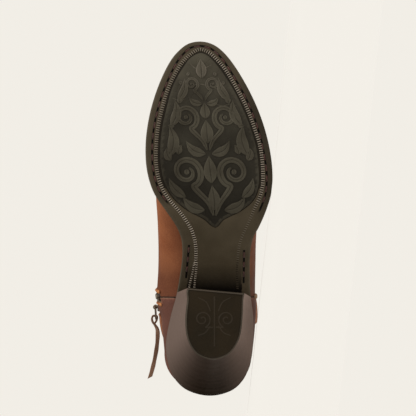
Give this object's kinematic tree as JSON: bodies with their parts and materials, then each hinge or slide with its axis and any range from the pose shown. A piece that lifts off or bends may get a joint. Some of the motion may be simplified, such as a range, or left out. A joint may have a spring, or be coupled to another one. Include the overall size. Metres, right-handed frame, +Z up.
{
  "type": "western ankle boot",
  "caption": "Left western ankle boot in reddish tan leather with an underslung stacked heel, stitched sole, inner zip with thong and a pull strap, lying on its outer side.",
  "frame": {"origin": "middle of the bounding box in plan, on the floor the boot lies on", "axes": "+X to the toe, +Y from the sole to the collar, +Z up from the outer side to the inner side"},
  "size_m": [0.2686, 0.2044, 0.0968],
  "materials": {
    "aged_metal": "dull aged metal",
    "dark_leather": "dark brown leather, satin",
    "rubber": "matte, finely creased, dark brown",
    "sock_leather": "pale tan lining leather, matte",
    "stacked_heel": "satin dark brown, thin stacked layers",
    "tan_leather": "smooth reddish tan leather, satin",
    "zip_cloth": "dark woven tape"
  },
  "bodies": {
    "boot": {"heel_block": "stacked_heel", "insole": "sock_leather", "outsole": "rubber", "pull_strap": "tan_leather", "side_piping": "tan_leather", "top_lift": "rubber", "upper": "tan_leather", "welt": "dark_leather", "zip_chain": "aged_metal", "zip_slider": "aged_metal", "zip_tape": "zip_cloth"},
    "zip_pull": {"zip_pull": "aged_metal", "zip_tassel": "dark_leather"}
  },
  "joints": [
    {"name": "pull_hinge", "type": "hinge", "parent": "boot", "child": "zip_pull", "pos_m": [-0.07516, 0.07117, 0.08677], "axis": [-0.1969, 0.9682, 0.1546], "range_deg": [0, 150]}
  ]
}
